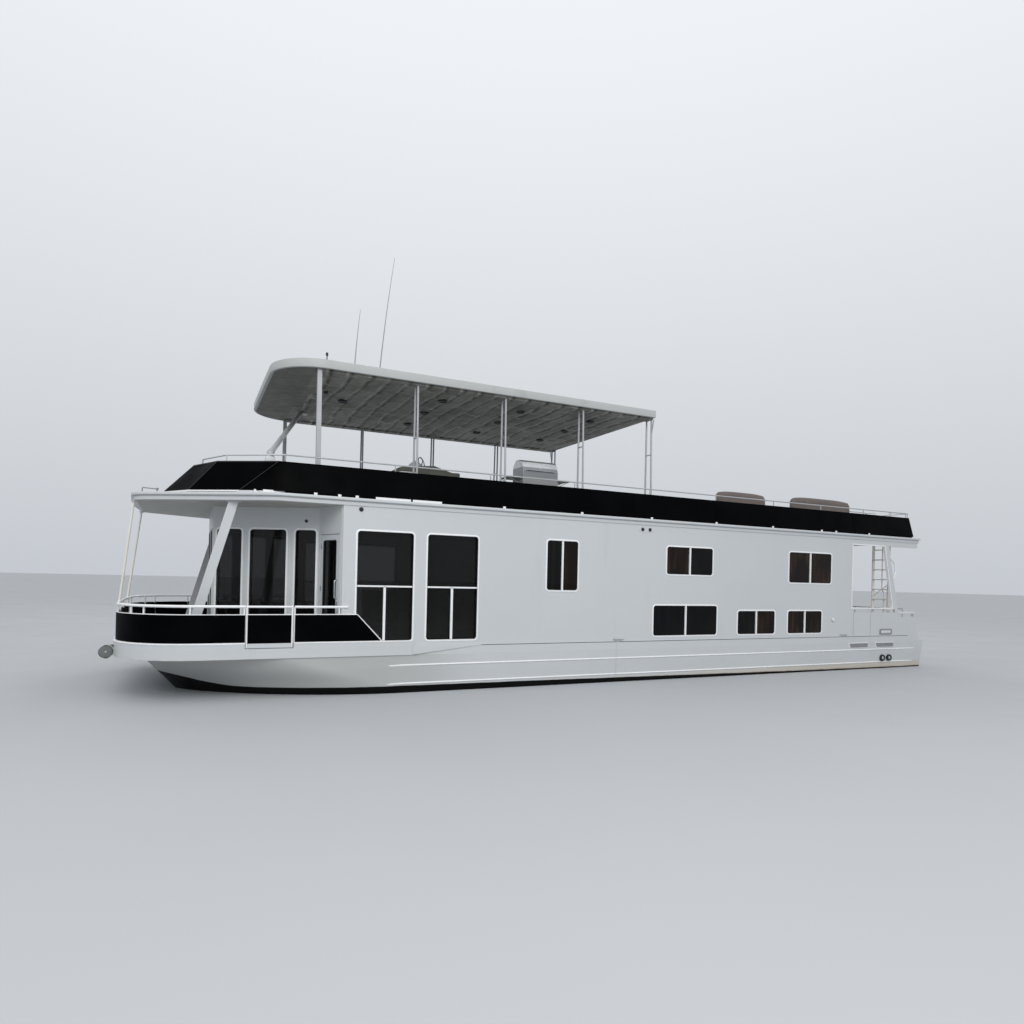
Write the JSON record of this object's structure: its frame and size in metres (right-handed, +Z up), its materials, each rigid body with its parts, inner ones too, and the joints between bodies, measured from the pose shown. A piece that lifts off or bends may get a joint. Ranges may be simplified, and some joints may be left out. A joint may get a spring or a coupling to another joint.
{
  "type": "houseboat",
  "caption": "Long two-deck houseboat with a railed fore deck, glazed saloon, black upper coaming, framed canopy and sterndrives, shown afloat.",
  "frame": {"origin": "on the centreline at the waterline, amidships", "axes": "+X to the bow, +Y to port, +Z up"},
  "size_m": [21.0853, 6.12, 9.5709],
  "materials": {
    "hull_paint": "semi-gloss white topsides, black below the boot line",
    "white_paint": "semi-gloss cool white paint on aluminium",
    "black_panel": "satin near-black panels",
    "tinted_glass": "dark tinted glass",
    "canopy_paint": "matt warm grey",
    "roller_rubber": "matt grey rubber",
    "antenna_plastic": "grey glass-fibre whip",
    "helm_plastic": "moulded white console with a dark top",
    "polished_steel": "polished stainless steel",
    "seat_leather": "off-white vinyl",
    "grill_paint": "matt grey cabinet",
    "sofa_fabric": "brown woven fabric",
    "drive_metal": "dark grey enamel"
  },
  "bodies": {
    "boat": {"hull": "hull_paint", "main_deck": "white_paint", "bow_rail": "black_panel", "port_side_rail": "black_panel", "starboard_side_rail": "black_panel", "port_porch_pillar": "white_paint", "starboard_porch_pillar": "white_paint", "port_bow_post": "white_paint", "starboard_bow_post": "white_paint", "port_side_wall": "white_paint", "starboard_side_wall": "white_paint", "port_door_wall": "white_paint", "starboard_door_wall": "white_paint", "port_window_wall": "white_paint", "starboard_window_wall": "white_paint", "front_wall": "white_paint", "aft_wall": "white_paint", "port_saloon_glass": "tinted_glass", "starboard_saloon_glass": "tinted_glass", "port_front_glass": "tinted_glass", "starboard_front_glass": "tinted_glass", "centre_glass": "tinted_glass", "upper_deck": "white_paint", "aft_roof": "white_paint", "front_coaming": "black_panel", "port_side_coaming": "black_panel", "starboard_side_coaming": "black_panel", "port_upper_rail": "white_paint", "starboard_upper_rail": "white_paint", "aft_coaming": "black_panel", "canopy": "canopy_paint", "port_canopy_posts": "white_paint", "starboard_canopy_posts": "white_paint", "canopy_brace": "white_paint", "tall_antenna": "antenna_plastic", "short_antenna": "antenna_plastic", "helm_console": "helm_plastic", "helm_seat": "seat_leather", "grill_stand": "grill_paint", "deck_bench": "grill_paint", "forward_sofa": "sofa_fabric", "aft_sofa": "sofa_fabric", "stern_ladder": "white_paint", "stern_rail": "polished_steel", "swim_platform": "white_paint"},
    "port_gate_leaf": {"port_gate": "black_panel"},
    "starboard_gate_leaf": {"starboard_gate": "black_panel"},
    "port_front_door_leaf": {"port_front_door": "white_paint"},
    "starboard_front_door_leaf": {"starboard_front_door": "white_paint"},
    "aft_door_leaf": {"aft_door": "white_paint"},
    "stern_gate_leaf": {"stern_gate": "polished_steel"},
    "wheel": {"helm_wheel": "polished_steel"},
    "lid": {"grill_lid": "polished_steel"},
    "port_roller": {"port_bow_roller": "roller_rubber"},
    "starboard_roller": {"starboard_bow_roller": "roller_rubber"},
    "port_drive": {"port_sterndrive": "drive_metal"},
    "starboard_drive": {"starboard_sterndrive": "drive_metal"},
    "port_screw": {"port_propeller": "drive_metal"},
    "starboard_screw": {"starboard_propeller": "drive_metal"}
  },
  "joints": [
    {"name": "port_gate_hinge", "type": "hinge", "parent": "boat", "child": "port_gate_leaf", "pos_m": [7.983, 3.008, 1.2], "axis": [0, 0, 1], "range_deg": [0, 95]},
    {"name": "starboard_gate_hinge", "type": "hinge", "parent": "boat", "child": "starboard_gate_leaf", "pos_m": [7.983, -3.008, 1.2], "axis": [0, 0, 1], "range_deg": [-95, 0]},
    {"name": "port_front_door_hinge", "type": "hinge", "parent": "boat", "child": "port_front_door_leaf", "pos_m": [6.6059, 2.2187, 1.9], "axis": [0, 0, 1], "range_deg": [-100, 0]},
    {"name": "starboard_front_door_hinge", "type": "hinge", "parent": "boat", "child": "starboard_front_door_leaf", "pos_m": [6.6059, -2.2187, 1.9], "axis": [0, 0, 1], "range_deg": [0, 100]},
    {"name": "aft_door_hinge", "type": "hinge", "parent": "boat", "child": "aft_door_leaf", "pos_m": [-7.192, 0.363, 1.9], "axis": [0, 0, 1], "range_deg": [-100, 0]},
    {"name": "stern_gate_hinge", "type": "hinge", "parent": "boat", "child": "stern_gate_leaf", "pos_m": [-9.38, 0.368, 1.3], "axis": [0, 0, 1], "range_deg": [0, 95]},
    {"name": "helm_wheel_turn", "type": "hinge", "parent": "boat", "child": "wheel", "pos_m": [3.9291, 0, 4.8685], "axis": [-0.945, 0, 0.3271], "range_deg": [-540, 540]},
    {"name": "grill_lid_hinge", "type": "hinge", "parent": "boat", "child": "lid", "pos_m": [1.79, 1.48, 4.5309], "axis": [1, 0, 0], "range_deg": [0, 75]},
    {"name": "port_roller_spin", "type": "hinge", "parent": "boat", "child": "port_roller", "pos_m": [10.165, 1.95, 0.8], "axis": [0, 1, 0], "continuous": true},
    {"name": "starboard_roller_spin", "type": "hinge", "parent": "boat", "child": "starboard_roller", "pos_m": [10.165, -1.95, 0.8], "axis": [0, 1, 0], "continuous": true},
    {"name": "port_drive_steer", "type": "hinge", "parent": "boat", "child": "port_drive", "pos_m": [-10.2, 1, 0], "axis": [0, 0, 1], "range_deg": [-28, 28]},
    {"name": "starboard_drive_steer", "type": "hinge", "parent": "boat", "child": "starboard_drive", "pos_m": [-10.2, -1, 0], "axis": [0, 0, 1], "range_deg": [-28, 28]},
    {"name": "port_propeller_spin", "type": "hinge", "parent": "port_drive", "child": "port_screw", "pos_m": [-10.73, 1, -0.52], "axis": [1, 0, 0], "continuous": true},
    {"name": "starboard_propeller_spin", "type": "hinge", "parent": "starboard_drive", "child": "starboard_screw", "pos_m": [-10.73, -1, -0.52], "axis": [1, 0, 0], "continuous": true}
  ],
  "couplings": [
    {"joint": "starboard_drive_steer", "follows": "port_drive_steer", "ratio": 1},
    {"joint": "helm_wheel_turn", "follows": "port_drive_steer", "ratio": -18}
  ]
}
